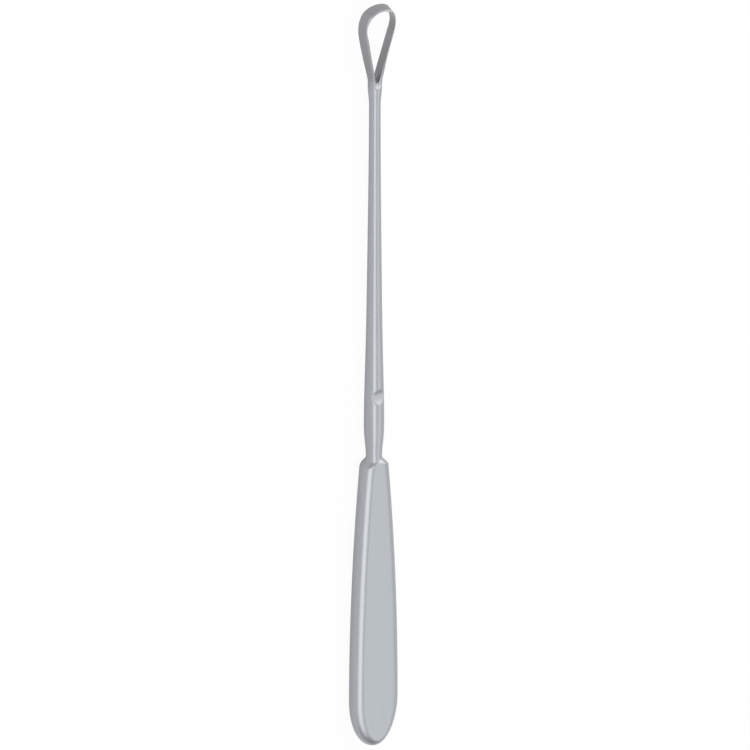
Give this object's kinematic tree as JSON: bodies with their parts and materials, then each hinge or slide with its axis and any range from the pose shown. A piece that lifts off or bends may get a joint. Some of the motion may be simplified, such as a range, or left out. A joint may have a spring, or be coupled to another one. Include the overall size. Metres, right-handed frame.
{
  "type": "uterine curette",
  "caption": "Slim steel hand curette with a flat bevelled handle, a tapering round shank and an open sharp-edged loop for scraping.",
  "frame": {"origin": "centre of the instrument's length and width, at the level of the handle's flat back face, on which it lies", "axes": "+Y along the instrument from the butt of the handle to the tip of the loop, +Z out of the front face, on the side of the cutting edge and the thumb notch, +X across"},
  "size_m": [0.019, 0.2799, 0.0078],
  "materials": {
    "satin_steel": "satin"
  },
  "bodies": {
    "root": {"curette": "satin_steel"}
  },
  "joints": []
}
